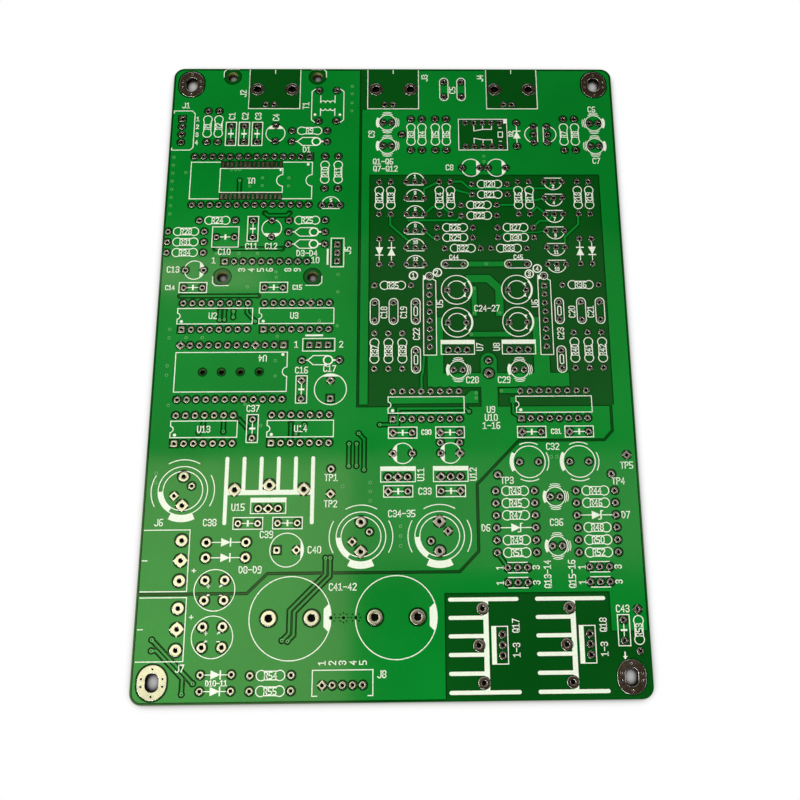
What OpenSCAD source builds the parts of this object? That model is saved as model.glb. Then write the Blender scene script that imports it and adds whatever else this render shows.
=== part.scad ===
// Bare circuit board of a stereo digital to analog converter, with nothing soldered on it.
// Lengths are in millimetres. X runs across the board, Y towards the jack edge, Z up.

/* [Board] */
// Width across the board
board_w = 129.5; // [128:0.5:150]
// Length from the front edge to the jack edge
board_l = 179; // [177:0.5:205]
// Thickness over both copper layers
board_t = 1.6; // [0.8:0.2:3.2]
// Radius of the board's corners
corner_r = 3; // [1:0.5:5]

/* [Copper] */
// Thickness of a copper layer with its lacquer
copper_t = 0.07; // [0.04:0.01:0.15]
// Wall of the plating inside a hole
plating = 0.06; // [0.03:0.01:0.1]
// Bare margin along the board's edges
edge_gap = 0.6; // [0.3:0.1:1]
// Bare ring around a pad
pad_gap = 0.45; // [0.2:0.05:0.5]
// Gap that parts the two ground planes
isolation_gap = 0.8; // [0.5:0.1:1.2]
// Width of a signal trace
trace_w = 0.6; // [0.4:0.1:0.8]

/* [Mounting] */
// Width of a mounting slot
slot_w = 3.4; // [2.6:0.1:4]
// Length of a mounting slot
slot_l = 4.6; // [4.2:0.1:5.4]
// From the board's edges to the middle of a slot
slot_inset = 5.3; // [5:0.1:6]
// Width of the metal land around a slot
slot_land = 1.9; // [1.5:0.1:2.2]
// Diameter of the holes for the plug-in module
module_hole_d = 3.1; // [2.2:0.1:3.6]
// Spacing of the module holes across the board
module_w = 25; // [24:0.1:26]
// Spacing of the module holes along the board
module_l = 63.6; // [62:0.1:65]

/* [Pads] */
// Hole for a thin lead
lead_hole_d = 0.85; // [0.6:0.05:1]
// Pad for a thin lead
lead_pad_d = 1.75; // [1.5:0.05:1.85]
// Hole for a rectifier or terminal lead
power_hole_d = 1.1; // [0.9:0.05:1.4]
// Pad for a rectifier lead
power_pad_d = 2.4; // [2:0.1:2.8]
// Pad for a terminal or a heatsink pin
terminal_pad_d = 3; // [2.4:0.1:3.4]
// Hole for a reservoir capacitor's snap-in lead
snap_hole_d = 1.9; // [1.5:0.1:2.2]
// Hole for a jack's leg
jack_hole_d = 2.3; // [1.8:0.1:2.6]
// Pad for a jack's leg or a snap-in lead
jack_pad_d = 3.9; // [3.2:0.1:4.4]
// Hole of a via
via_hole_d = 0.4; // [0.3:0.05:0.5]
// Outside of a via
via_d = 0.9; // [0.7:0.05:1.1]

/* [Legend] */
// Thickness of the printed ink
ink_t = 0.03; // [0.02:0.01:0.06]
// Width of a printed line
line_w = 0.24; // [0.2:0.02:0.4]

/* [Hidden] */
$fn = 64;
pitch = 2.54;
// Places follow the board when it grows
stretch_x = board_w / 129.5;
stretch_y = board_l / 179;
core_bottom = copper_t;
core_top = board_t - copper_t;
round_pad = 0;
square_pad = 1;
tied_pad = 2;
flat = 0;
upright = 90;
// Half of the lead spacing of each body
axial_reach = 2 * pitch;
radial_reach = pitch;
small_diode_reach = 1.5 * pitch;
// The two channels mirror each other about this line
channel_x = 26.05;
slot_x = board_w / 2 - slot_inset;
slot_y = board_l / 2 - slot_inset;
land_via_d = 0.5;

// Places are [x, y, turn], measured from the middle of the board
function both(places) = [
    for (p = places)
        for (s = [-1, 1])
            [channel_x + s * p[0], p[1], p[2]]
];
function row(x, first, step, count, turn) = [
    for (i = [0 : count - 1])
        [x, first + i * step, turn]
];

resistors = concat(
    [[-54.1, 70.2, upright], [-50.9, 70.2, upright]],
    [[5.1, 67.6, upright], [8.3, 67.6, upright], [12.2, 67.6, upright], [15.4, 67.6, upright]],
    [[49.8, 67.6, upright], [53.1, 67.6, upright]],
    [[-19.7, 55.4, upright], [-15.9, 55.4, upright]],
    [[62, -72.9, upright]],
    [[-24.4, 68.8, flat], [-24.4, 40.3, flat], [-49.7, 40.3, flat]],
    row(-58.3, 36.9, -3.2, 3, flat),
    [[27.6, 51.6, flat], [27.6, 48.3, flat], [24.4, 45, flat], [24.4, 41.7, flat]],
    row(31.9, -37.3, -3.2, 3, flat),
    row(31.9, -50.1, -3.2, 2, flat),
    row(53, -37.4, -3.2, 2, flat),
    row(53, -47, -3.2, 3, flat),
    row(-30.3, -82.8, -3.7, 2, flat),
    both([[30.1, 47.3, upright], [26.8, 47.3, upright], [12.9, 47.3, upright], [9.7, 47.3, upright]]),
    both([[8.6, 38, flat], [8.6, 34.9, flat], [6.5, 31.6, flat], [26.2, 20.5, flat]]),
    both([[31.2, 1.4, upright], [27.4, 1.4, upright], [23.6, 1.4, upright]])
);
beads = [[-24.4, 65.3, flat], [-24.4, 36.7, flat], [-24.4, 33, flat], [-19.7, -1.2, flat]];
box_caps = concat(
    [[-47.2, 67.8, upright], [-43.4, 67.8, upright], [-39.6, 67.8, upright]],
    [[-39.6, 37.7, upright], [-24.7, -9.4, upright], [-37.4, -20.1, upright], [58.2, -72.9, upright]],
    [[-55.4, 20, flat], [-33.1, 20, flat], [-37.5, -45.2, flat], [-27.3, -45.2, flat]],
    [[2.5, -21.5, flat], [15.1, -21.5, flat], [36.9, -21.5, flat], [49.6, -21.5, flat]],
    [[1.3, -37.2, flat], [15.1, -37.2, flat]]
);
wide_cap = [-47.2, 35.2, flat];
film_caps = concat(
    [[14.9, 82.6, upright], [20, 82.6, upright]],
    both([[8.9, 26.8, flat], [31.2, 12.8, upright], [26, 12.8, upright]])
);
pill_caps = both([[19.9, 12.8, upright], [19.9, -1.2, upright]]);

// Electrolytic cans by the size of their printed ring
segment_cans = [
    [-34.3, 67.9, 90], [-34.3, 37.8, 270], [-55.3, 25.2, 0], [22.4, 56.8, 0], [29.8, 56.8, 0],
    [2.5, -27.1, 180], [15.1, -27.1, 180]
];
narrow_cans = [
    [-1.8, 71.5, 0], [-1.8, 63.9, 0], [42.4, -38.9, 0], [42.4, -51.7, 0], [17.6, -4.1, 0],
    [34.3, -4.1, 0], [58.8, 71.3, 180], [58.8, 63.8, 180]
];
digital_cans = [[-16.9, -9.4, 90], [-27.3, -52.1, 0]];
channel_cans = [[17.6, 19.1, 0], [17.6, 9.5, 0], [34.4, 19.1, 0], [34.4, 9.6, 0]];
supply_cans = [[35.9, -29.6, 0], [49.2, -29.6, 0]];
dual_cans = [[-54.7, -36.6, 0], [-8.3, -48.9, 0], [12, -48.9, 0]];
reservoir_cans = [[-25.9, -69.1, 0], [0.8, -69.1, 0]];

// Chips are [x, y, turn, pins in a row, row spacing, body length, body width, notch radius]
chips = [
    [-40.7, 52.8, 180, 14, 15.24, 34.7, 11.6, 1.7],
    [-48.9, 11.6, 0, 8, 7.62, 20.5, 4.5, 0.75],
    [-26.6, 11.6, 0, 8, 7.62, 20.5, 4.5, 0.75],
    [-43.8, -4.4, 180, 12, 15.24, 30.1, 11.1, 1.2],
    [-50.2, -20.2, 0, 7, 7.62, 17.6, 4.5, 0.75],
    [-24.7, -20.2, 0, 7, 7.62, 17.6, 4.5, 0.75],
    [8.8, -13.9, 0, 8, 7.62, 20.4, 4.5, 0.75],
    [43.2, -13.9, 0, 8, 7.62, 20.4, 4.5, 0.75]
];
receiver = chips[0];
lands_per_row = 14;
land_pitch = 1.27;
land_row = 5.08;
land_w = 0.7;
land_l = 1.7;
// Cooling holes under the wide chip
filter_chip = chips[3];
cooling_hole_d = 1.5;

relay = [26.1, 67.6, 0];
relay_row = 7.85;
input_header = [-61.5, 68.9, upright];
module_header = [-35.6, 27.8, flat];
jumpers = [[-15.7, 30.4, upright], [-20.3, 3.2, flat]];
op_amps = [[10.05, 11.4, upright], [42.05, 11.4, upright]];
op_amp_mark = 11.8;
number_rings = [[5.6, 23.4, 0], [12.3, 24.3, 0], [38, 23.8, 0], [40.3, 25.4, 0]];
arrow = [58.1, -79, 0];
lamp_header = [-12.5, -85.3, flat];
module_place = [-35, 54.95, flat];
jacks = [[-35, 82.6, flat], [-0.1, 82.6, flat], [34.95, 82.6, flat]];
jack_w = 15;
jack_depth = 13.1;
jack_leg = 5.08;
terminals = [[-54.2, -54.5, upright], [-54.1, -71.5, upright]];
terminal_pitch = 5.08;
transformer = [-19.3, 77.1, flat];
transformer_x = 2.6;
transformer_y = 5.1;

small_transistors = concat(
    [[-17.8, 45, 0], [41, 67.6, 90], [44.9, 67.6, 270]],
    row(channel_x - 19.85, 52.4, -5.12, 6, 0),
    row(channel_x + 19.85, 52.4, -5.12, 6, 180)
);
line_transistors = [[31.9, -57.1, 0], [31.9, -60.9, 180], [53, -57.1, 0], [53, -60.9, 180]];
// Regulators are [x, y, turn], taken at the middle pad
regulators = [
    [17.6, 1.6, 0], [34.3, 1.6, 0], [-32.4, -41.4, 0], [1.25, -33.4, 0], [15.1, -33.4, 0],
    [27.5, -76.2, 90], [49.6, -76.2, 90]
];
// Heatsinks are [x, y, turn], taken at the middle of the base
heatsinks = [[-32.3, -37.2, 0], [23.4, -76.2, 90], [45.5, -76.2, 90]];
fin_pitch = 4.5;
fin_w = 1;
fin_l = 9;
heatsink_leg = 9;

small_diodes = concat(
    [[36, 67.6, 90], [-43.8, -82.5, 0], [-43.8, -86.4, 0]],
    [[channel_x - 30, 30.7, 270], [channel_x - 26.6, 30.7, 90]],
    [[channel_x + 30, 30.7, 270], [channel_x + 26.6, 30.7, 90]]
);
zeners = [[31.9, -46.9, 0], [53, -43.8, 0]];
rectifiers = [[-42.8, -50, 0], [-42.8, -53.9, 0]];
bridges = [[-45.2, -62, 0], [-45.2, -73.5, 0]];

test_points = [[-16.3, -31.1], [-16.3, -37.7], [27.5, -33], [57.5, -33], [61.9, -27.9]];
star_point = [25.9, -5.1];
small_points = [[25.9, -1.5], [2.5, 67.6], [12.5, -24.2], [17.6, -24.2], [10.05, 23.2], [42.05, 23.2]];

// Pads that are joined to a plane by four short bars
tied_spots = [
    [-54.2, -54.5], [-54.1, -71.5], [62, -67.8], [-16.9, -6.9], [-24.8, -52.1], [-0.1, -27.1],
    [17.6, -27.1], [-32.4, -41.4], [1.2, -33.4], [12.5, -33.4], [-41.3, -36.4], [-32.3, -35.3],
    [-23.3, -36.4], [-16.3, -37.7], [61.9, -27.9], [-17.6, -85.3],
    [-56.9, -37.9], [-54.7, -40.4], [-10.5, -50.2], [-8.3, -52.7], [14.2, -47.6], [12, -45.1],
    [-24.7, -6.9], [-57.8, 3.2], [-37.5, 3.2], [-22.8, 15.4], [0, -21.5], [12.5, -21.5], [34.4, -21.5],
    [47.1, -21.5], [-1.3, -37.2], [17.6, -37.2]
];

vias = concat(
    [for (i = [0 : 7]) [-63.2, 60.2 - 2.55 * i]],
    [for (x = [-46.5, -45.3, -44.1]) [x, 56.2]],
    [[-59.5, 55.3], [-44, 52.8], [-30, 53.6], [-30, 51], [-41.1, 51], [-37.5, 51.2], [-37.5, 53.6]],
    [for (y = [83.6, 81.1, 78, 75.4]) [-12.2, y]],
    [[26.2, 60.5], [26.2, 58.8], [-43.2, 30.2], [-38, 30.2], [-49.5, 30.2], [-32.7, 24.6]],
    [[-40.4, 20.1], [-32.5, 23], [-61, 7.8], [-61, 5.4], [-56.4, 5.4], [-52, 5.4], [-31.7, 5.7]],
    [for (y = [23.8, 18.6, 8.6]) [-15.4, y]],
    [[-20.3, 10.1], [-47.6, 10.5], [-46.3, 10.5], [-43.9, 13], [-43.9, 11.2], [-37.8, 10]],
    [[-61, -2.6], [-61, -5.2], [-32, -1.3], [-31.9, -5.6], [-60, -13.6], [-39.6, -13.4]],
    [[-51.5, -21.1], [-45, -20.9], [-23.6, -19.1], [-25.8, -21.7], [-35.2, -19.3]],
    [[-61.9, -31.9], [-61.9, -34.4], [-13.2, -35.8], [41.8, -28.3], [43.3, -28.3]],
    [for (y = [-34.8, -37.2, -39.6]) [-6, y]],
    [for (y = [-46.3, -48.8, -51.3]) [1.9, y]],
    [[22.3, -10.7], [22.3, -12.1], [29.1, -10.1], [26.05, 26.8], [22.4, 19.4], [22.4, 12.2], [29.4, 12.2]],
    [[21.4, 6], [-3.6, -19.3], [20.3, -15.8], [-11.7, -24.4], [-9.7, -24.4], [-9.2, -21.6]],
    [[-17.3, -54.2], [-16.1, -54.2], [-60.1, -74], [-60.1, -76.6], [-27.8, -74.5], [-26.4, -74.7]],
    [[-11.7, -30.4], [-9.7, -30.4], [-7.7, -31.4], [-49.4, -84.5], [-52, -87]]
);

// Wide vias with a ring of gaps in the planes around them
relief_vias = [for (x = [-15.6, -12.5, -9.4]) [x, -69.1]];
relief_r = 1.15;
relief_d = 0.4;

// Printed outlines of the cans, as radii
segment_can_r = 2.75;
narrow_can_r = 2.5;
digital_can_r = 4.3;
channel_can_r = 4.28;
channel_inner_r = 2.65;
supply_can_r = 4.25;
dual_can_r = 5.15;
dual_can_wide_r = 6.4;
reservoir_can_r = 10.3;
bridge_r = 5.15;
// Printed outlines of the other bodies
resistor_end_r = 1.35;
resistor_waist = 2.3;
resistor_reach = 2.3;
box_cap_l = 7.6;
box_cap_w = 3;
film_cap_l = 7.8;
film_cap_w = 2.7;
transistor_r = 2.75;
transistor_flat = 1.2;
regulator_l = 9.1;
regulator_w = 4;
receiver_l = 17.9;
receiver_w = 7.6;
// Reach of the jack and terminal outlines towards the board's edge
jack_edge = 6.6;
terminal_half = 7.75;
terminal_edge = 9.8;

// Bare fields without copper, as [left, bottom, right, top]
bare_fields = [
    [-6.9, -14.1, 59.4, 54.6],
    [-9.6, 75.8, 7.7, 91],
    [-42.6, 76.3, -27.4, 91],
    [27.4, 76.3, 42.5, 91],
    [18.7, 62.3, 33.6, 72.9],
    [13, -91, 55.1, -63.3],
    [55.1, -91, 66, -73]
];
// The line that parts the digital side from the analog side
divide = [
    [-9.55, 95], [-9.55, -14.1], [58.5, -14.1], [58.5, -21.3], [56.2, -23.8], [33.4, -23.8],
    [22, -35.5], [22, -52.9], [17, -58], [-32, -58], [-37, -62.9], [-70, -62.9]
];
// Traces on bare laminate
open_traces = [
    [[-0.9, 42.1], [-0.9, 38.8], [5, 33.2]],
    [[8.7, 37.2], [10.9, 34.9], [12.4, 34.9]],
    [[4, 40.2], [17.9, 40.2], [19.3, 41.7]],
    [[8.9, 42.2], [11.2, 44.4], [14, 44.4], [16.3, 42.2]],
    [[8.8, 47.3], [8.8, 50.1], [13.2, 52.4]],
    [[16.4, 52.4], [19.6, 52.4], [21.9, 50.2], [44.6, 50.2], [45.9, 52.4]],
    [[17.7, 49.8], [22.4, 48.3]],
    [[29.5, 45], [34.4, 45], [35.8, 46.5], [41, 46.5], [43.4, 47.3]],
    [[38.9, 42.2], [41, 44.3], [43.4, 42.2]],
    [[39.7, 38], [41.6, 40], [44, 40], [45.9, 42.2]],
    [[52.6, 42.2], [52.6, 39], [48.5, 34.9], [48.5, 32]],
    [[8.4, 0.2], [8, -4.6], [7.6, -6], [7.6, -10.1]]
];
// Wide traces on bare laminate, as [width, points]
wide_traces = [
    [2.2, [[20.2, 22.4], [26.4, 22.4], [29.4, 19.4], [29.4, 11.3]]],
    [1.4, [[22.4, 20.2], [22.4, 11.3]]],
    [1.4, [[20.8, 6], [32.4, 6]]],
    [1.5, [[20, 26.8], [32.4, 26.8]]],
    [1.4, [[28.7, -10.1], [34.3, -10.1]]],
    [1.6, [[32.2, -11.8], [32.2, -13.4]]],
    [0.35, [[29.6, 34.9], [31.6, 36.45], [41, 36.45], [43.4, 37.1]]]
];
// Traces that run through a plane in their own channel
plane_traces = [
    [[-11.7, -24.4], [-11.7, -30.4]],
    [[-9.7, -24.4], [-9.7, -30.4]],
    [[-9.2, -21.6], [-7.7, -23.2], [-7.7, -31.4]],
    [[-17.3, -54.2], [-17.3, -58.4], [-26.1, -67.2], [-26.1, -72.8], [-27.8, -74.5]],
    [[-16.1, -54.2], [-16.1, -58.8], [-24.9, -67.6], [-24.9, -73.2], [-26.4, -74.7]],
    [[-60.1, -74], [-49.4, -84.5]],
    [[-60.1, -76.6], [-58.8, -76.6], [-52, -83.3], [-52, -87]],
    [[-3.6, -19.3], [1.1, -19.3], [1.3, -14.9], [19.3, -14.9], [20.3, -15.8]],
    [[26.8, -53.3], [29.4, -57.1]],
    [[32.2, -13.4], [32.2, -16.2], [34.3, -17.7]],
    [[-44, 52.8], [-44, 48.6]],
    [[-36.4, 42.6], [-35.6, 41.8], [-30.2, 41.8], [-29.4, 42.6]],
    [[-40.2, 15.4], [-40.2, 12.6], [-37.8, 10]],
    [[-47.6, 13.4], [-47.6, 10.5]],
    [[-46.3, 13.4], [-46.3, 10.5]],
    [[-43.9, 13], [-43.9, 11.2]],
    [[-41, -17.6], [-38.9, -19.8]],
    [[-50.2, -16.4], [-50.5, -19.8], [-51.5, -21.1]],
    [[-45.1, -16.4], [-45, -20.9]],
    [[-27.2, -18.6], [-27.2, -23]],
    [[-23.6, -19.1], [-25.8, -21.7]],
    [[-58.7, 17.5], [-37.4, 17.5]],
    [[-49.8, 31.6], [-31.2, 31.6]]
];

// Pads are [x, y, hole, disc, shape]
function spread(p) = [stretch_x * p[0], stretch_y * p[1]];
function spot(place, dx, dy) =
    spread(place) + [
        dx * cos(place[2]) - dy * sin(place[2]),
        dx * sin(place[2]) + dy * cos(place[2])
    ];
function tied(p) = len([for (q = tied_spots) if (norm(spread(q) - p) < 1) q]) > 0;
function pad(p, hole, disc, shape = round_pad) =
    [p[0], p[1], hole, disc, shape == round_pad && tied(p) ? tied_pad : shape];
function lead(p, shape = round_pad) = pad(p, lead_hole_d, lead_pad_d, shape);
function pair(places, reach, first = round_pad) = [
    for (p = places)
        for (s = [-1, 1])
            lead(spot(p, s * reach, 0), s < 0 ? first : round_pad)
];
function in_line(place, count, step, first = round_pad) = [
    for (i = [0 : count - 1])
        lead(spot(place, (i - (count - 1) / 2) * step, 0), i == 0 ? first : round_pad)
];

chip_pads = [
    for (c = chips)
        for (s = [-1, 1])
            for (i = [0 : c[3] - 1])
                lead(
                    spot(c, (i - (c[3] - 1) / 2) * pitch, s * c[4] / 2),
                    i == 0 && s < 0 ? square_pad : round_pad
                )
];
resistor_pad_list = concat(pair(resistors, axial_reach), pair(beads, axial_reach));
film_pad_list = concat(
    pair(box_caps, radial_reach),
    pair([wide_cap], radial_reach),
    pair(film_caps, radial_reach),
    pair(pill_caps, radial_reach)
);
can_pad_list = concat(
    pair(segment_cans, radial_reach),
    pair(narrow_cans, pitch / 2),
    pair(digital_cans, radial_reach, square_pad),
    pair(channel_cans, radial_reach, square_pad),
    pair(supply_cans, radial_reach)
);
reservoir_pad_list = concat(
    [
        for (p = reservoir_cans)
            for (s = [-1, 1])
                pad(spot(p, s * 5.4, 0), snap_hole_d, jack_pad_d)
    ],
    [
        for (p = dual_cans)
            for (s = [-1, 1])
                pad(spot(p, 0, s * 3.8), power_hole_d, power_pad_d + 0.3)
    ],
    [
        for (p = dual_cans)
            for (s = [-1, 1])
                pad(spot(p, s * 2.2, s * 1.27), lead_hole_d, lead_pad_d)
    ]
);
diode_pad_list = concat(
    pair(small_diodes, small_diode_reach),
    pair(zeners, axial_reach),
    [
        for (p = rectifiers)
            for (s = [-1, 1])
                pad(spot(p, s * axial_reach, 0), power_hole_d, power_pad_d)
    ],
    [
        for (p = bridges)
            for (i = [0 : 3])
                let (r = 2.5 * sqrt(2))
                    pad(spot(p, r * cos(45 + 90 * i), r * sin(45 + 90 * i)), power_hole_d, power_pad_d)
    ]
);
transistor_pad_list = [
    for (p = concat(small_transistors, line_transistors))
        for (i = [-1 : 1])
            lead(spot(p, i * pitch, 0))
];
regulator_pad_list = [
    for (p = regulators)
        for (i = [-1 : 1])
            pad(spot(p, i * pitch, 0), power_hole_d, lead_pad_d + 0.2)
];
heatsink_pad_list = [
    for (p = heatsinks)
        for (i = [-1 : 1])
            pad(spot(p, i * heatsink_leg, i == 0 ? 1.9 : 0.8), power_hole_d + 0.2, terminal_pad_d)
];
jack_pad_list = concat(
    [
        for (p = jacks)
            for (s = [-1, 1])
                pad(spot(p, s * jack_leg, 0), jack_hole_d, jack_pad_d)
    ],
    [
        for (p = jacks)
            for (x = [-2.45, 0])
                lead(spot(p, x, -5.05))
    ]
);
terminal_pad_list = [
    for (p = terminals)
        for (i = [-1 : 1])
            pad(spot(p, i * terminal_pitch, 0), power_hole_d, terminal_pad_d)
];
header_pad_list = concat(
    in_line(input_header, 4, -pitch, square_pad),
    in_line(module_header, 10, pitch, square_pad),
    [
        for (p = jumpers)
            for (i = [-1 : 1])
                lead(spot(p, i * pitch, 0), square_pad)
    ],
    in_line(lamp_header, 5, 2.5),
    [
        for (p = op_amps)
            for (i = [0 : 7])
                lead(spot(p, (3.5 - i) * pitch, 0), i == 0 ? square_pad : round_pad)
    ]
);
transformer_pad_list = concat(
    [
        for (sx = [-1, 1])
            for (sy = [-1, 1])
                lead(spot(transformer, sx * transformer_x, sy * transformer_y))
    ],
    [
        for (s = [-1, 1])
            for (i = [-2 : 2])
                lead(spot(relay, i * pitch, s * relay_row / 2), i == 2 && s > 0 ? square_pad : round_pad)
    ]
);
test_pad_list = concat(
    [for (p = test_points) pad(spread(p), lead_hole_d, lead_pad_d + 0.1)],
    [pad(spread(star_point), power_hole_d, power_pad_d + 0.2)],
    [for (p = small_points) lead(spread(p))]
);
all_pads = concat(
    chip_pads, resistor_pad_list, film_pad_list, can_pad_list, reservoir_pad_list, diode_pad_list,
    transistor_pad_list, regulator_pad_list, heatsink_pad_list, jack_pad_list, terminal_pad_list,
    header_pad_list, transformer_pad_list, test_pad_list
);
land_spots = [
    for (s = [-1, 1])
        for (i = [0 : lands_per_row - 1])
            spot(receiver, (i - (lands_per_row - 1) / 2) * land_pitch, s * land_row)
];
slot_spots = [
    for (sx = [-1, 1])
        for (sy = [-1, 1])
            [sx * slot_x, sy * slot_y]
];
module_spots = [
    for (sx = [-1, 1])
        for (sy = [-1, 1])
            spot(module_place, sx * module_w / 2, sy * module_l / 2)
];
cooling_spots = [
    for (i = [-1.5 : 1.5])
        spot(filter_chip, i * 2 * pitch, 0)
];

// A line of the given width through a list of points, with sharp corners
function unit(v) = v / norm(v);
function normal(v) = [-v[1], v[0]];
function leg(points, i) = unit(points[i + 1] - points[i]);
function corner(points, i) =
    let (
        last = len(points) - 1,
        a = normal(leg(points, max(i - 1, 0))),
        b = normal(leg(points, min(i, last - 1))),
        m = unit(a + b)
    )
    m / (m * a);
function side(points, reach) = [
    for (i = [0 : len(points) - 1])
        points[i] + reach * corner(points, i)
];
function backwards(points) = [
    for (i = [len(points) - 1 : -1 : 0])
        points[i]
];
module stroke(points, width) {
    polygon(concat(side(points, width / 2), backwards(side(points, -width / 2))));
}
module track(points, width) {
    path = [for (p = points) spread(p)];
    stroke(path, width);
}
module stadium(width, length) {
    square([width, length - width], center = true);
    for (s = [-1, 1])
        translate([0, s * (length - width) / 2])
            circle(d = width);
}
module box_between(left, bottom, right, top) {
    translate([left, bottom])
        square([right - left, top - bottom]);
}
module rounded_plate(inset) {
    r = corner_r - min(inset, corner_r / 2);
    w = board_w - 2 * inset;
    l = board_l - 2 * inset;
    difference() {
        square([w, l], center = true);
        for (sx = [-1, 1])
            for (sy = [-1, 1])
                translate([sx * w / 2, sy * l / 2])
                    square(2 * r, center = true);
    }
    for (sx = [-1, 1])
        for (sy = [-1, 1])
            translate([sx * (w / 2 - r), sy * (l / 2 - r)])
                intersection() {
                    circle(r = r);
                    translate([sx * r / 2, sy * r / 2])
                        square(r, center = true);
                }
}

// Everything drilled or milled through the board
module drilled() {
    for (p = all_pads)
        translate([p[0], p[1]])
            circle(d = p[2] + 2 * plating);
    for (p = vias)
        translate(spread(p))
            circle(d = via_d);
    for (p = relief_vias)
        translate(spread(p))
            circle(d = lead_hole_d + 2 * plating);
    for (p = slot_spots)
        translate(p) {
            stadium(slot_w + 2 * plating, slot_l + 2 * plating);
            land_vias();
        }
    open_holes(0);
}
module land_vias() {
    reach = slot_w / 2 + slot_land / 2;
    for (s = [-1, 1]) {
        translate([0, s * (slot_l / 2 + slot_land / 2)])
            circle(d = land_via_d);
        for (t = [-1, 1])
            translate([s * reach, t * 0.9])
                circle(d = land_via_d);
    }
}
module open_holes(margin) {
    for (p = module_spots)
        translate(p)
            circle(d = module_hole_d + 2 * margin);
    for (p = cooling_spots)
        translate(p)
            circle(d = cooling_hole_d + margin);
}
// Bare rings around all metal that a plane keeps clear of
module cleared(traces) {
    for (p = all_pads)
        translate([p[0], p[1]])
            if (p[4] == square_pad)
                square(p[3] + 2 * pad_gap, center = true);
            else
                circle(d = p[3] + 2 * pad_gap);
    for (p = slot_spots)
        translate(p)
            stadium(slot_w + 2 * slot_land + 2 * pad_gap, slot_l + 2 * slot_land + 2 * pad_gap);
    for (p = vias)
        translate(spread(p))
            circle(d = via_d);
    for (p = relief_vias)
        translate(spread(p)) {
            circle(d = lead_hole_d + 2 * plating);
            for (a = [0 : 45 : 315])
                translate(relief_r * [cos(a), sin(a)])
                    circle(d = relief_d);
        }
    open_holes(1.1);
    if (traces) {
        for (p = land_spots)
            translate(p)
                square([land_w + 0.5, land_l + 0.6], center = true);
        for (t = plane_traces) {
            track(t, trace_w + 2 * pad_gap);
            for (end = [t[0], t[len(t) - 1]])
                translate(spread(end))
                    circle(d = via_d + 2 * pad_gap);
        }
    }
}
module bare() {
    for (f = bare_fields)
        box_between(stretch_x * f[0], stretch_y * f[1], stretch_x * f[2], stretch_y * f[3]);
}
module digital_half() {
    path = [for (p = concat(divide, [[-70, 95]])) spread(p)];
    polygon(path);
}
// The star point and the strips that lead from it to the converter chips
module star() {
    box_between(stretch_x * 23.7, stretch_y * -15, stretch_x * 28.1, stretch_y * -1.5);
    translate(spread([25.9, -1.5]))
        circle(d = stretch_x * 4.4);
    box_between(stretch_x * 9.3, stretch_y * -9, stretch_x * 47.7, stretch_y * -5.1);
    box_between(stretch_x * 9.3, stretch_y * -6, stretch_x * 13.6, stretch_y * 0.2);
    box_between(stretch_x * 12, stretch_y * -1, stretch_x * 13.6, stretch_y * 11);
    box_between(stretch_x * 38.3, stretch_y * -6, stretch_x * 42.6, stretch_y * 0.2);
    box_between(stretch_x * 38.3, stretch_y * -1, stretch_x * 40, stretch_y * 11);
}
module converter_strip() {
    path = [
        for (p = [[-1, -11.8], [19, -11.8], [20.8, -10], [22.9, -10], [22.9, -13.5], [-1, -13.5]])
            spread(p)
    ];
    polygon(path);
}
module digital_field() {
    difference() {
        intersection() {
            rounded_plate(edge_gap);
            digital_half();
        }
        track(divide, isolation_gap);
        bare();
    }
    star();
}
module analog_field() {
    difference() {
        rounded_plate(edge_gap);
        digital_half();
        track(divide, isolation_gap);
        bare();
    }
}
module open_copper() {
    converter_strip();
    for (t = open_traces)
        track(t, trace_w);
    for (t = wide_traces)
        track(t[1], t[0]);
}

// Plated pads
module eyelet(hole, disc) {
    bore = hole / 2;
    wall = bore + plating;
    rim = disc / 2;
    rotate_extrude()
        polygon([
            [bore, 0], [rim, 0], [rim, copper_t], [wall, copper_t],
            [wall, core_top], [rim, core_top], [rim, board_t], [bore, board_t]
        ]);
}
module square_eyelet(hole, width) {
    for (z = [0, core_top])
        translate([0, 0, z])
            linear_extrude(copper_t)
                difference() {
                    square(width, center = true);
                    circle(d = hole);
                }
    linear_extrude(board_t)
        difference() {
            circle(d = hole + 2 * plating);
            circle(d = hole);
        }
}
// Four points that reach from a pad to the plane around it
module ties(hole, disc) {
    translate([0, 0, core_top])
        linear_extrude(copper_t)
            difference() {
                circle(r = disc / 2 + pad_gap, $fn = 4);
                circle(d = hole);
            }
}
module pads(list) {
    for (p = list)
        translate([p[0], p[1]]) {
            if (p[4] == square_pad)
                square_eyelet(p[2], p[3]);
            else
                eyelet(p[2], p[3]);
            if (p[4] == tied_pad)
                ties(p[2], p[3]);
        }
}

// Printed marks, each drawn around its own middle
module put(place) {
    translate(spread(place))
        rotate(place[2])
            children();
}
module ring(r, width = line_w) {
    difference() {
        circle(r = r + width / 2);
        circle(r = r - width / 2);
    }
}
module wedge(from, to, reach) {
    middle = (from + to) / 2;
    polygon(concat([[0, 0]], [for (a = [from, middle, to]) 2 * reach * [cos(a), sin(a)]]));
}
module arc(r, from, to, width = line_w) {
    intersection() {
        ring(r, width);
        wedge(from, to, r);
    }
}
module bar(x1, y1, x2, y2, width = line_w) {
    stroke([[x1, y1], [x2, y2]], width);
}
module frame(w, l) {
    difference() {
        square([w + line_w, l + line_w], center = true);
        square([w - line_w, l - line_w], center = true);
    }
}
module resistor_body(inset) {
    for (s = [-1, 1])
        translate([s * resistor_reach, 0])
            circle(r = resistor_end_r - inset);
    square([2 * resistor_reach, resistor_waist - 2 * inset], center = true);
}
module resistor_mark() {
    difference() {
        resistor_body(0);
        resistor_body(line_w);
    }
}
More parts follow.
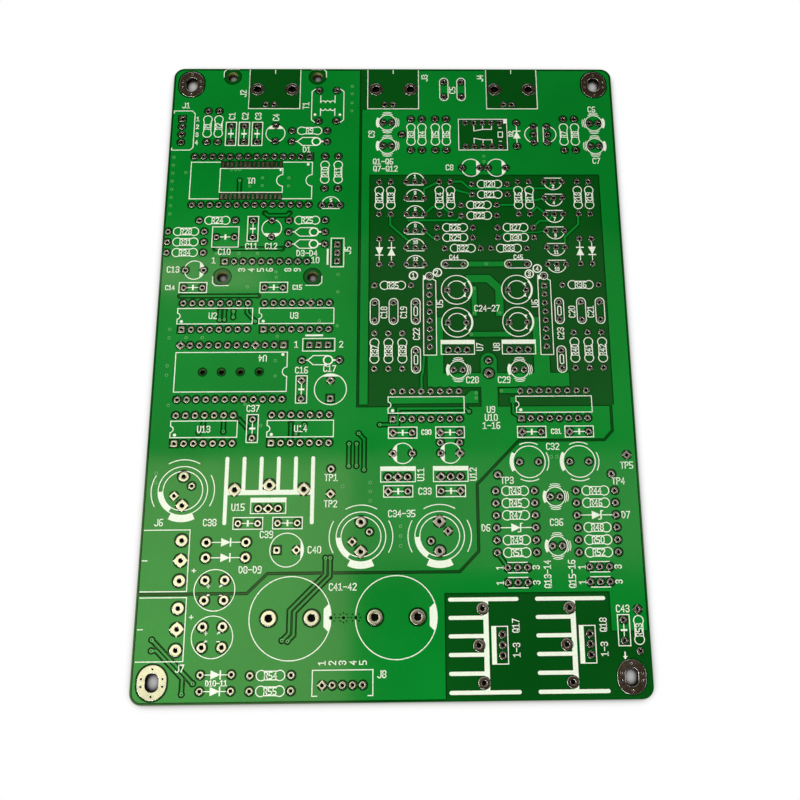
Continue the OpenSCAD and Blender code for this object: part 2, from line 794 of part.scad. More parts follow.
module bead_mark() {
    stroke([[1.9, 1.3], [-2, 1.3], [-3.5, 0], [-2, -1.3], [1.9, -1.3]], line_w);
    translate([2, 0])
        ring(1.2, 1.6 * line_w);
    bar(3.2, 0, 4.2, 0, 2 * line_w);
    bar(-4.2, 0, -3.6, 0);
}
module box_cap_mark(w = box_cap_l, l = box_cap_w) {
    frame(w, l);
    bar(-1.5, 0, 1.5, 0);
    bar(0, -0.8, 0, 0.8, 2 * line_w);
}
module film_cap_mark() {
    rotate(90)
        difference() {
            stadium(film_cap_w, film_cap_l);
            stadium(film_cap_w - 2 * line_w, film_cap_l - 2 * line_w);
        }
}
module pill_cap_mark() {
    film_cap_mark();
    rotate(90)
        difference() {
            stadium(1.2, 2.9);
            stadium(1.2 - 2 * line_w, 2.9 - 2 * line_w);
        }
}
module segment(r, from) {
    intersection() {
        circle(r = r);
        translate([from, -r])
            square([r, 2 * r]);
    }
}
module segment_can_mark() {
    ring(segment_can_r);
    segment(segment_can_r + 0.05, segment_can_r - 1.25);
}
module narrow_can_mark() {
    ring(narrow_can_r);
    arc(narrow_can_r + 0.5, 150, 210, 0.7);
    for (a = [0, 90, 270]) {
        arc(narrow_can_r + 0.45, a - 32, a + 32, 0.2);
        arc(narrow_can_r + 0.9, a - 22, a + 22, 0.2);
    }
}
module digital_can_mark() {
    ring(digital_can_r);
    segment(digital_can_r + 0.05, digital_can_r - 0.75);
}
module channel_can_mark() {
    ring(channel_can_r);
    arc(channel_can_r - 0.18, -40, 40, 0.5);
    for (s = [-1, 1]) {
        arc(channel_inner_r, s * 90 - 68, s * 90 + 68);
        translate([2.1, s * 1.75])
            rotate(s * 35)
                circle(r = 0.6, $fn = 3);
    }
}
module supply_can_mark() {
    ring(supply_can_r);
    arc(supply_can_r + 0.5, 150, 210, 0.9);
    for (a = [0, 90, 270])
        arc(supply_can_r + 0.95, a - 28, a + 28);
}
module dual_can_mark() {
    ring(dual_can_r);
    ring(dual_can_wide_r);
    arc(dual_can_r + 0.6, 182, 238, 1.1);
    arc(dual_can_wide_r + 0.9, 245, 295, 1.7);
    for (a = [0, 90, 180])
        arc(dual_can_wide_r + 1.8, a - 30, a + 30);
}
module reservoir_can_mark() {
    ring(reservoir_can_r);
    intersection() {
        circle(r = reservoir_can_r);
        translate([reservoir_can_r, 0])
            polygon([[-1.9, -2.2], [-0.7, -3.4], [0.7, -3.4], [0.7, 3.4], [-0.7, 3.4], [-1.9, 2.2]]);
    }
}
module notched(w, l, r, inset) {
    difference() {
        square([w - 2 * inset, l - 2 * inset], center = true);
        translate([-w / 2, 0])
            circle(r = r + inset);
    }
}
module notched_frame(w, l, r) {
    difference() {
        notched(w + line_w, l + line_w, r, 0);
        notched(w + line_w, l + line_w, r, line_w);
    }
}
module chip_mark(c) {
    notched_frame(c[5], c[6], c[7]);
    translate([1.2 - c[5] / 2, 0.7 - c[6] / 2])
        circle(r = 0.42);
}
module receiver_mark() {
    difference() {
        chip_mark(receiver);
        square([receiver_l, 2 * land_row + land_l + 0.6], center = true);
    }
    notched_frame(receiver_l, receiver_w, receiver[7]);
    translate([0.65 - receiver_l / 2, 0.5 - receiver_w / 2])
        circle(r = 0.35);
}
module transistor_body(inset) {
    difference() {
        circle(r = transistor_r - inset);
        translate([-transistor_r, inset - transistor_flat - 2 * transistor_r])
            square(2 * transistor_r);
    }
}
module transistor_mark() {
    difference() {
        transistor_body(0);
        transistor_body(line_w);
    }
}
module line_transistor_mark() {
    for (s = [-1, 1])
        bar(-2.6, s * 1.3, 2.6, s * 1.3);
}
module regulator_mark() {
    translate([0, 0.7])
        frame(regulator_l, regulator_w);
    translate([0, regulator_w / 2 + 0.15])
        square([regulator_l + 0.1, 1.1], center = true);
}
module heatsink_mark() {
    span = 2.5 * fin_pitch;
    bar(-span, 0, span, 0, 1.3);
    for (i = [-2.5 : 2.5])
        translate([i * fin_pitch, fin_l / 2])
            stadium(fin_w, fin_l + 1);
    for (s = [-1, 1])
        translate([s * span, -3.9])
            stadium(fin_w, 9);
}
module diode_mark(reach) {
    for (s = [-1, 1])
        bar(s * 1, 0, s * reach, 0);
    bar(1.1, -1.1, 1.1, 1.1, 1.4 * line_w);
    polygon([[-1.3, -1.1], [1.1, 0], [-1.3, 1.1]]);
}
module zener_mark() {
    diode_mark(4.2);
    bar(1, 1.1, 1.7, 1.1);
    bar(0.3, -1.1, 1, -1.1);
}
module bridge_mark() {
    ring(bridge_r);
    bar(-6, 4.9, -4.9, 4.9);
    bar(-5.45, 4.35, -5.45, 5.45);
}
module jack_mark() {
    for (s = [-1, 1])
        bar(s * jack_w / 2, jack_edge, s * jack_w / 2, jack_edge - jack_depth);
    bar(-jack_w / 2 - line_w / 2, jack_edge - jack_depth, jack_w / 2 + line_w / 2, jack_edge - jack_depth);
    bar(0, jack_edge - 1.3, 0, jack_edge);
}
module terminal_mark() {
    bar(-terminal_half, -2, terminal_half, -2);
    for (s = [-1, 1])
        bar(s * terminal_half, -2 - line_w / 2, s * terminal_half, terminal_edge);
    bar(0, terminal_edge - 1.4, 0, terminal_edge);
}
module input_header_mark() {
    bar(-5.6, -3.6, 5.6, -3.6);
    for (s = [-1, 1]) {
        stroke([[s * 5.5, -3.65], [s * 6.4, -2.7], [s * 6.4, 2.5], [s * 5.6, 2.5]], line_w);
    }
}
module jumper_mark() {
    frame(8.7, 3.6);
    bar(-3.7, 2.7, 1.1, 2.7, 0.5);
}
module op_amp_mark_lines() {
    stroke([
        [op_amp_mark - 0.7, 1.75], [-11.3, 1.75], [-11.3, -1.75], [10.4, -1.75], [op_amp_mark - 0.9, -0.9]
    ], line_w);
    translate([op_amp_mark, 0])
        ring(1.1);
    polygon([[10.6, 1.8], [12.1, 1.8], [11.9, 0.9], [11, 0.7]]);
}
module number_ring_mark() {
    ring(1.15, 0.35);
}
module arrow_mark() {
    bar(0, 0.9, 0, -0.4, 0.35);
    polygon([[-0.6, -0.2], [0.6, -0.2], [0, -1]]);
}
module lamp_header_mark() {
    stroke([[-6.2, -2.5], [-7.5, -2.5], [-7.5, 3.6], [7.5, 3.6], [7.5, -2.5], [6.2, -2.5]], line_w);
}
module relay_mark() {
    frame(14.2, 10.1);
    translate([6.4, 4.3])
        square([1.3, 1.3], center = true);
    for (s = [-1, 1]) {
        stroke([[-2.6, 2.8 * s], [-2.6, 1.2 * s], [0, 1.7 * s], [2.6, 1.7 * s], [2.6, 2.8 * s]], line_w);
        stroke([[0, 2.8 * s], [0, 1.7 * s]], line_w);
        translate([5.1, 2.2 * s])
            square([0.9, line_w], center = true);
    }
    translate([5.1, 0])
        frame(1.3, 1.7);
}
module transformer_mark() {
    for (s = [-1, 1])
        stroke([[s * 3.6, 5.6], [s * 4.7, 4.7], [s * 4.7, -4.7], [s * 3.6, -5.6]], line_w);
    for (s = [-1, 1]) {
        for (i = [-1 : 1])
            translate([i * 1.4, s * 0.9])
                arc(0.7, s > 0 ? 5 : 185, s > 0 ? 175 : 355);
        for (t = [-1, 1])
            bar(t * 2.1, s * 0.9, t * 2.1, s * 3.4);
    }
    translate([3.6, -3])
        circle(r = 0.4);
    translate([-3.7, -3])
        circle(r = 0.4);
}
module module_mark() {
    for (sx = [-1, 1])
        for (sy = [-1, 1])
            stroke([
                [sx * 15.1, sy * 31.6], [sx * 15.1, sy * 33.6], [sx * 14.3, sy * 34.4], [sx * 10.6, sy * 34.4]
            ], line_w);
}
module marks() {
    for (p = resistors)
        put(p) resistor_mark();
    for (p = beads)
        put(p) bead_mark();
    for (p = box_caps)
        put(p) box_cap_mark();
    put(wide_cap) box_cap_mark(7.4, 6.2);
    for (p = film_caps)
        put(p) film_cap_mark();
    for (p = pill_caps)
        put(p) pill_cap_mark();
    for (p = segment_cans)
        put(p) segment_can_mark();
    for (p = narrow_cans)
        put(p) narrow_can_mark();
    for (p = digital_cans)
        put(p) digital_can_mark();
    for (p = channel_cans)
        put(p) channel_can_mark();
    for (p = supply_cans)
        put(p) supply_can_mark();
    for (p = dual_cans)
        put(p) dual_can_mark();
    for (p = reservoir_cans)
        put(p) reservoir_can_mark();
    put(receiver) receiver_mark();
    for (i = [1 : len(chips) - 1])
        put(chips[i]) chip_mark(chips[i]);
    for (p = small_transistors)
        put(p) transistor_mark();
    for (p = line_transistors)
        put(p) line_transistor_mark();
    for (p = regulators)
        put(p) regulator_mark();
    for (p = heatsinks)
        put(p) heatsink_mark();
    for (p = small_diodes)
        put(p) diode_mark(2.8);
    for (p = zeners)
        put(p) zener_mark();
    for (p = rectifiers)
        put(p) diode_mark(3.9);
    for (p = bridges)
        put(p) bridge_mark();
    for (p = jacks)
        put(p) jack_mark();
    for (p = terminals)
        put(p) terminal_mark();
    put(input_header) input_header_mark();
    for (p = jumpers)
        put(p) jumper_mark();
    for (p = op_amps)
        put(p) op_amp_mark_lines();
    for (p = number_rings)
        put(p) number_ring_mark();
    put(arrow) arrow_mark();
    put(lamp_header) lamp_header_mark();
    put(relay) relay_mark();
    put(transformer) transformer_mark();
    put(module_place) module_mark();
}
// Ink keeps off the pads and stays inside the board's edge
module printed() {
    difference() {
        intersection() {
            marks();
            rounded_plate(0.2);
        }
        for (p = all_pads)
            translate([p[0], p[1]])
                if (p[4] == square_pad)
                    square(p[3] + 0.3, center = true);
                else
                    circle(d = p[3] + 0.3);
        for (p = relief_vias)
            translate(spread(p))
                circle(d = lead_hole_d + 0.3);
    }
}

// Sub-parts
module board() {
    color("#0b4a1c")
        translate([0, 0, core_bottom])
            linear_extrude(core_top - core_bottom)
                difference() {
                    rounded_plate(0);
                    drilled();
                }
}
module digital_ground_plane() {
    color("#0f8a36")
        translate([0, 0, core_top])
            linear_extrude(copper_t)
                difference() {
                    digital_field();
                    cleared(true);
                }
}
module analog_ground_plane() {
    color("#0f8a36")
        translate([0, 0, core_top])
            linear_extrude(copper_t)
                difference() {
                    analog_field();
                    cleared(true);
                }
}
module signal_traces() {
    color("#12843a")
        translate([0, 0, core_top])
            linear_extrude(copper_t)
                difference() {
                    union() {
                        open_copper();
                        for (t = plane_traces)
                            track(t, trace_w);
                    }
                    for (p = all_pads)
                        translate([p[0], p[1]])
                            if (p[4] == square_pad)
                                square(p[3], center = true);
                            else
                                circle(d = p[3]);
                    for (p = vias)
                        translate(spread(p))
                            circle(d = via_d);
                    for (p = land_spots)
                        translate(p)
                            square([land_w, land_l], center = true);
                }
}
module underside_digital_plane() {
    color("#0f8a36")
        linear_extrude(copper_t)
            difference() {
                digital_field();
                cleared(false);
            }
}
module underside_analog_plane() {
    color("#0f8a36")
        linear_extrude(copper_t)
            difference() {
                analog_field();
                cleared(false);
            }
}
module mounting_lands() {
    color("#d8cfa8")
        for (p = slot_spots)
            translate(p) {
                for (z = [0, core_top])
                    translate([0, 0, z])
                        linear_extrude(copper_t)
                            difference() {
                                stadium(slot_w + 2 * slot_land, slot_l + 2 * slot_land);
                                stadium(slot_w, slot_l);
                                land_vias();
                            }
                linear_extrude(board_t)
                    difference() {
                        stadium(slot_w + 2 * plating, slot_l + 2 * plating);
                        stadium(slot_w, slot_l);
                    }
            }
}
module ic_pads() {
    color("#cfc08e") pads(chip_pads);
}
module resistor_pads() {
    color("#cfc08e") pads(resistor_pad_list);
}
module film_capacitor_pads() {
    color("#cfc08e") pads(film_pad_list);
}
module electrolytic_pads() {
    color("#cfc08e") pads(can_pad_list);
}
module reservoir_pads() {
    color("#cfc08e") pads(reservoir_pad_list);
}
module diode_pads() {
    color("#cfc08e") pads(diode_pad_list);
}
module transistor_pads() {
    color("#cfc08e") pads(transistor_pad_list);
}
module regulator_pads() {
    color("#cfc08e") pads(regulator_pad_list);
}
module heatsink_pads() {
    color("#cfc08e") pads(heatsink_pad_list);
}
module jack_pads() {
    color("#cfc08e") pads(jack_pad_list);
}
module terminal_pads() {
    color("#cfc08e") pads(terminal_pad_list);
}
module header_pads() {
    color("#cfc08e") pads(header_pad_list);
}
module transformer_pads() {
    color("#cfc08e") pads(transformer_pad_list);
}
module test_pads() {
    color("#cfc08e") pads(test_pad_list);
}
module surface_mount_lands() {
    color("#cfc08e")
        for (p = land_spots)
            translate([p[0], p[1], core_top])
                linear_extrude(copper_t)
                    square([land_w, land_l], center = true);
}
module via_barrels() {
    color("#0c7a30")
        linear_extrude(board_t) {
            for (p = vias)
                translate(spread(p))
                    difference() {
                        circle(d = via_d);
                        circle(d = via_hole_d);
                    }
            for (p = relief_vias)
                translate(spread(p))
                    difference() {
                        circle(d = lead_hole_d + 2 * plating);
                        circle(d = lead_hole_d);
                    }
        }
}
module legend() {
    color("#e9efe2") {
        translate([0, 0, board_t])
            linear_extrude(ink_t)
                intersection() {
                    printed();
                    union() {
                        digital_field();
                        analog_field();
                        open_copper();
                    }
                }
        translate([0, 0, core_top])
            linear_extrude(ink_t)
                difference() {
                    printed();
                    digital_field();
                    analog_field();
                    open_copper();
                }
    }
}

board();
digital_ground_plane();
analog_ground_plane();
signal_traces();
underside_digital_plane();
underside_analog_plane();
mounting_lands();
ic_pads();
resistor_pads();
film_capacitor_pads();
electrolytic_pads();
reservoir_pads();
diode_pads();
transistor_pads();
regulator_pads();
heatsink_pads();
jack_pads();
terminal_pads();
header_pads();
transformer_pads();
test_pads();
surface_mount_lands();
via_barrels();
legend();
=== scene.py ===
"""Looks of a bare circuit board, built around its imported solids."""
import math
import bpy
import numpy as np
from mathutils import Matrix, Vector
from mathutils.bvhtree import BVHTree


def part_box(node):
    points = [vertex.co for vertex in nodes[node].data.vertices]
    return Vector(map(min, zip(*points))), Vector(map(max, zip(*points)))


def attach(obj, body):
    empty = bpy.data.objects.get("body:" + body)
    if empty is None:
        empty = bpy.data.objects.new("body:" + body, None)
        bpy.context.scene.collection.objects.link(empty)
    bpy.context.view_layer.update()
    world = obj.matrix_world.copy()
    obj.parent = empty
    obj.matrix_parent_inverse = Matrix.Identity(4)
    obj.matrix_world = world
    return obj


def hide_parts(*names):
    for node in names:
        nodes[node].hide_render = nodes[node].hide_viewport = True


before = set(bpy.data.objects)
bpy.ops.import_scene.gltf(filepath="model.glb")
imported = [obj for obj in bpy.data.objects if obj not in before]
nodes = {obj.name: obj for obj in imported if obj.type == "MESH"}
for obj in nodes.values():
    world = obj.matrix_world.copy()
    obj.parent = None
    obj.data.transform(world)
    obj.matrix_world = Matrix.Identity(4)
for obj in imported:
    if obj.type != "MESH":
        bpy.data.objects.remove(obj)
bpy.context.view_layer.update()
MM = 0.001

# Heights of the layers, read from the solids
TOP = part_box("digital_ground_plane")[1].z
BARE_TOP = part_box("board")[1].z
COPPER = TOP - BARE_TOP
INK_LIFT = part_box("legend")[1].z - TOP

# Plated metal
TIN_DOME = 0.005 * MM
BARREL_WALL = 0.06 * MM
PAD_SIDES = 24
SQUARE_CORNER = 1.32
LAND_RIM = 0.15 * MM
RIM_SAMPLES = 8

# Lacquer, and the fine grain of every finish
GRAIN_HEIGHT = 0.01 * MM
GLOSS = 0.45
CLOTH_PITCH = 0.55 * MM
CLOTH_SHADE = 0.10
# Reach and sharpness of the painted shade in narrow gaps beside the copper
GAP_SHADE_REACH = 0.6 * MM
GAP_SHADE_SHARPNESS = 28.0
SHADE_SAMPLES = 32

# Studio
FLOOR_LEVEL = -0.05 * MM
STUDIO_RADIUS = 5.0
FLOOR_SIZE = 2.2 * STUDIO_RADIUS
WALL_HEIGHT = 0.9
WALL_SIDES = 96
STUDIO_GREY = (0.5, 0.5, 0.5)
# Colour, reach and span of the shadow painted on the floor under and around the board
CONTACT_SHADOW_DARK = (0.02, 0.018, 0.016)
CONTACT_REACH = 8 * MM
CONTACT_SPAN = (0.4, 0.9)


def srgb(r, g, b):
    """Linear colour from 0-255 display values."""
    return tuple(((c / 255 + 0.055) / 1.055) ** 2.4 if c > 10 else c / 255 / 12.92 for c in (r, g, b))


def scaled(colour, share):
    """A colour made darker or lighter."""
    return tuple(share * c for c in colour)


# Colours
PLANE_GREEN = srgb(0, 131, 42)
BARE_GREEN = srgb(0, 82, 20)
VIA_GREEN = srgb(84, 172, 92)
LAMINATE = srgb(112, 116, 66)
TIN = srgb(203, 203, 200)
# Painted shade: dark brown on the walls of plated holes, so that the holes look dark
BARREL_SHADE = srgb(74, 62, 46)
INK = srgb(240, 251, 238)
THIN_INK = (0.45, 0.62, 0.42)
ROOM = srgb(58, 38, 22)


class Shader:
    """A material with its node tree at hand."""

    def __init__(self, name):
        self.material = bpy.data.materials.new(name)
        self.material.use_nodes = True
        self.tree = self.material.node_tree
        self.bsdf = self.tree.nodes["Principled BSDF"]
        self.place = self.add("ShaderNodeTexCoord").outputs["Object"]

    def add(self, kind, **settings):
        """A new node with its settings."""
        node = self.tree.nodes.new(kind)
        for key, value in settings.items():
            setattr(node, key, value)
        return node

    def link(self, source, target):
        self.tree.links.new(source, target)

    def feed(self, socket, value):
        """Set a socket to a number or a colour, or link it to another node's output."""
        if isinstance(value, tuple):
            socket.default_value = (*value, 1)
        elif isinstance(value, (int, float)):
            socket.default_value = value
        else:
            self.link(value, socket)

    def noise(self, scale, detail):
        """A cloudy value in the object's own space."""
        node = self.add("ShaderNodeTexNoise")
        node.inputs["Scale"].default_value = scale
        node.inputs["Detail"].default_value = detail
        self.link(self.place, node.inputs["Vector"])
        return node.outputs["Fac"]

    def span(self, value, low, high, out_low, out_high):
        """A value carried from one range over to another and held at its ends."""
        node = self.add("ShaderNodeMapRange")
        ends = {"From Min": low, "From Max": high, "To Min": out_low, "To Max": out_high}
        for key, number in ends.items():
            node.inputs[key].default_value = number
        self.link(value, node.inputs["Value"])
        return node.outputs["Result"]

    def math(self, operation, a, b):
        """A value reckoned from two numbers or outputs."""
        node = self.add("ShaderNodeMath", operation=operation)
        for socket, value in zip(node.inputs, (a, b)):
            self.feed(socket, value)
        return node.outputs[0]

    def mix(self, factor, a, b, blend="MIX"):
        """A colour blended from two."""
        node = self.add("ShaderNodeMix", data_type="RGBA", blend_type=blend)
        sockets = [node.inputs[0], node.inputs[6], node.inputs[7]]
        for socket, value in zip(sockets, (factor, a, b)):
            self.feed(socket, value)
        return node.outputs[2]

    def grain(self, height, strength):
        """A fine unevenness of the surface."""
        node = self.add("ShaderNodeBump")
        node.inputs["Strength"].default_value = strength
        node.inputs["Distance"].default_value = GRAIN_HEIGHT
        self.link(height, node.inputs["Height"])
        self.link(node.outputs["Normal"], self.bsdf.inputs["Normal"])
        return node

    def weave(self, pitch):
        """Crossing yarns of the glass cloth, as a height from 0 to 1."""
        bands = []
        for axis in ("X", "Y"):
            node = self.add("ShaderNodeTexWave", wave_type="BANDS", bands_direction=axis)
            node.inputs["Scale"].default_value = math.pi / (10 * pitch)
            node.inputs["Distortion"].default_value = 0.6
            node.inputs["Detail Scale"].default_value = 1.0
            self.link(self.place, node.inputs["Vector"])
            bands.append(node.outputs["Fac"])
        return self.math("MULTIPLY", bands[0], bands[1])


def lacquer(name, colour, cloth):
    """Green lacquer with a cloudy colour and a soft orange peel.

    Cloth is how strongly the glass cloth shows through, where no copper lies under the lacquer.
    """
    s = Shader(name)
    cloud = s.span(s.noise(22, 4), 0.3, 0.7, 0.0, 1.0)
    deep = scaled(colour, 0.88)
    pale = tuple(1.12 * c + 0.002 for c in colour)
    base = s.mix(cloud, deep, pale)
    speck = s.span(s.noise(2600, 2), 0.35, 0.7, 0.94, 1.05)
    base = s.mix(1.0, base, speck, "MULTIPLY")
    if cloth:
        yarn = s.span(s.weave(CLOTH_PITCH), 0.0, 1.0, 1.0 - cloth, 1.0 + cloth)
        base = s.mix(1.0, base, yarn, "MULTIPLY")
    s.link(base, s.bsdf.inputs["Base Color"])
    s.link(s.span(s.noise(60, 3), 0.3, 0.7, 0.07, 0.12), s.bsdf.inputs["Roughness"])
    s.bsdf.inputs["Specular IOR Level"].default_value = GLOSS
    s.grain(s.noise(700, 2), 0.08)
    return s


def board_material():
    """Dark lacquer on the faces, darkened further by painted shade in narrow gaps, where it also shines
    less, and raw laminate on edges and in unplated holes.
    """
    s = lacquer("bare_laminate", BARE_GREEN, CLOTH_SHADE)
    painted = s.bsdf.inputs["Base Color"].links[0].from_socket
    # Painted shade: an ambient occlusion mask darkens the lacquer to a fifth of its green in narrow gaps
    # beside the copper, and dims its gloss there too
    gap = s.add("ShaderNodeAmbientOcclusion", samples=SHADE_SAMPLES)
    gap.inputs["Distance"].default_value = GAP_SHADE_REACH
    clear = s.math("POWER", gap.outputs["AO"], GAP_SHADE_SHARPNESS)
    painted = s.mix(clear, scaled(BARE_GREEN, 0.2), painted)
    s.link(s.math("MULTIPLY", clear, GLOSS), s.bsdf.inputs["Specular IOR Level"])
    normal = s.add("ShaderNodeSeparateXYZ")
    s.link(s.add("ShaderNodeNewGeometry").outputs["Normal"], normal.inputs[0])
    upright = s.math("LESS_THAN", s.math("ABSOLUTE", normal.outputs["Z"], 0.0), 0.5)
    ply = s.span(s.noise(900, 3), 0.3, 0.7, 0.7, 1.2)
    raw = s.mix(1.0, LAMINATE, ply, "MULTIPLY")
    s.link(s.mix(upright, painted, raw), s.bsdf.inputs["Base Color"])
    return s.material


def tin_material(name, rim):
    """Bright tin with painted shade on the barrel walls; rim is the radius to which sharp edges look
    rounded.
    """
    s = Shader(name)
    cloud = s.span(s.noise(300, 3), 0.3, 0.7, 0.0, 1.0)
    bright = s.mix(cloud, scaled(TIN, 0.88), TIN)
    # Painted shade: the walls between the top and bottom copper take the dark barrel colour
    height = s.add("ShaderNodeSeparateXYZ")
    s.link(s.place, height.inputs[0])
    depth = s.span(height.outputs["Z"], COPPER, TOP - COPPER, 0.0, 1.0)
    below_top = s.math("LESS_THAN", depth, 0.999)
    above_bottom = s.math("GREATER_THAN", depth, 0.001)
    barrel_shade_mask = s.math("MULTIPLY", below_top, above_bottom)
    s.link(s.mix(barrel_shade_mask, bright, BARREL_SHADE), s.bsdf.inputs["Base Color"])
    s.bsdf.inputs["Metallic"].default_value = 1.0
    s.link(s.span(s.noise(900, 3), 0.3, 0.7, 0.16, 0.22), s.bsdf.inputs["Roughness"])
    grain = s.grain(s.noise(1200, 2), 0.03)
    if rim:
        rounded = s.add("ShaderNodeBevel", samples=RIM_SAMPLES)
        rounded.inputs["Radius"].default_value = rim
        s.link(rounded.outputs["Normal"], grain.inputs["Normal"])
    return s.material


def ink_material():
    """White printing ink, thin in specks."""
    s = Shader("legend_ink")
    thin = s.span(s.noise(3500, 3), 0.45, 0.75, 0.0, 0.35)
    s.link(s.mix(thin, INK, THIN_INK), s.bsdf.inputs["Base Color"])
    s.link(s.span(s.noise(1200, 2), 0.3, 0.7, 0.45, 0.65), s.bsdf.inputs["Roughness"])
    s.grain(s.noise(4000, 2), 0.2)
    return s.material


def islands(obj):
    """Vertex places of each separate solid in a node, with vertices at the same micrometre as one."""
    mesh = obj.data
    co = np.empty(len(mesh.vertices) * 3)
    mesh.vertices.foreach_get("co", co)
    co = co.reshape(-1, 3)
    ends = np.empty(len(mesh.edges) * 2, np.int64)
    mesh.edges.foreach_get("vertices", ends)
    merged, index = np.unique(np.round(co * 1e6).astype(np.int64), axis=0, return_inverse=True)
    a, b = index.ravel()[ends.reshape(-1, 2)].T
    label = np.arange(len(merged))
    while True:
        low = np.minimum(label[a], label[b])
        new = label.copy()
        np.minimum.at(new, a, low)
        np.minimum.at(new, b, low)
        new = new[new]
        if np.array_equal(new, label):
            break
        label = new
    places = merged * 1e-6
    first = {}
    for vertex, k in enumerate(label[index.ravel()]):
        first.setdefault(k, vertex)
    return [places[label == k] for k in sorted(first, key=first.get)]


class Pad:
    """Measures of one plated pad, taken from its solid.

    A square pad reaches further at its corners, and a tied round pad at its four tips on the printed side.
    The two values are the shares of the half width from which a pad counts as square or as tied.
    """
    SQUARE_FROM = 1.2
    TIED_FROM = 1.06

    def __init__(self, points):
        self.low, self.high = points[:, 2].min(), points[:, 2].max()
        self.centre = (points.min(0)[:2] + points.max(0)[:2]) / 2
        flat = points[:, :2] - self.centre
        reach = np.hypot(*flat.T)
        self.bore = reach.min()
        bottom = points[:, 2] < self.low + 0.5 * COPPER
        self.half = np.abs(flat[bottom]).max()
        self.square = reach[bottom].max() > self.SQUARE_FROM * self.half
        tied = not self.square and reach.max() > self.TIED_FROM * self.half
        self.tip = reach.max() if tied else 0.0

    def rim(self, angle, top):
        """Distance from the middle to the rim at an angle."""
        c, s = abs(math.cos(angle)), abs(math.sin(angle))
        if self.square:
            return self.half * min(1 / max(c, s), SQUARE_CORNER)
        if top and self.tip:
            return max(self.half, self.tip / (c + s))
        return self.half


def pad_rings(pad):
    """Closed profile of a tinned eyelet as (share of the way from bore to rim, height, on top).

    Where on top is None, the first number is a distance from the bore.
    """
    t, b = pad.high, pad.low
    return [
        (0.0, b + 0.02 * MM, False), (0.0, t - 0.05 * MM, True), (0.05, t - 0.01 * MM, True),
        (0.12, t + 0.15 * TIN_DOME, True), (0.3, t + 0.8 * TIN_DOME, True), (0.5, t + TIN_DOME, True),
        (0.7, t + 0.8 * TIN_DOME, True), (0.9, t + 0.15 * TIN_DOME, True), (0.97, t - 0.01 * MM, True),
        (1.0, t - 0.035 * MM, True), (1.0, t - COPPER, True),
        (BARREL_WALL, t - COPPER, None), (BARREL_WALL, b + COPPER, None),
        (1.0, b + COPPER, False), (1.0, b + 0.01 * MM, False), (0.95, b, False), (0.08, b, False),
    ]


def add_piece(name, verts, faces, material):
    """A mesh piece that is fixed to the board."""
    mesh = bpy.data.meshes.new(name)
    mesh.from_pydata(verts, [], faces)
    mesh.materials.append(material)
    piece = bpy.data.objects.new(name, mesh)
    bpy.context.scene.collection.objects.link(piece)
    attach(piece, "root")
    return piece


def tinned_pads(node, material):
    """Rounded, tinned eyelets in place of a node's plain ones."""
    verts, faces = [], []
    turns = [2 * math.pi * i / PAD_SIDES for i in range(PAD_SIDES)]
    for pad in map(Pad, islands(nodes[node])):
        rings = pad_rings(pad)
        first = len(verts)
        for share, z, top in rings:
            for angle in turns:
                if top is None:
                    r = pad.bore + share
                else:
                    r = pad.bore + share * (pad.rim(angle, top) - pad.bore)
                verts.append((pad.centre[0] + r * math.cos(angle), pad.centre[1] + r * math.sin(angle), z))
        for i in range(len(rings)):
            j = (i + 1) % len(rings)
            a, b = first + i * PAD_SIDES, first + j * PAD_SIDES
            for k in range(PAD_SIDES):
                m = (k + 1) % PAD_SIDES
                faces.append((a + k, b + k, b + m, a + m))
    piece = add_piece(node + "_tinned", verts, faces, material)
    piece.data.polygons.foreach_set("use_smooth", [True] * len(faces))
    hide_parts(node)


def dress(node, material):
    """Give a node its finish."""
    obj = nodes[node]
    obj.data.materials.clear()
    obj.data.materials.append(material)


# Strokes of each sign on a grid 4 wide and 6 high, as points "xy", with a space between two strokes
GLYPHS = {
    "0": "10,01,05,16,36,45,41,30,10", "1": "05,26,20 00,40", "2": "05,16,36,45,44,00,40",
    "3": "05,16,36,45,44,33,13 33,42,41,30,10,01", "4": "30,36,02,42", "5": "46,06,03,33,42,41,30,00",
    "6": "46,16,04,01,10,30,41,42,33,03", "7": "06,46,10",
    "8": "13,04,05,16,36,45,44,33,13,02,01,10,30,41,42,33",
    "9": "00,30,42,45,36,16,05,04,13,43", "C": "41,30,10,01,05,16,36,45", "D": "00,06,26,44,42,20,00",
    "J": "01,10,30,41,46", "P": "00,06,36,45,44,33,03", "Q": "10,01,05,16,36,45,41,30,10 22,40",
    "R": "00,06,36,45,44,33,03 23,40", "T": "06,46 26,20", "U": "06,01,10,30,41,46",
    "+": "03,43 21,25", "-": "03,43", "~": "02,13,24,33,44",
}
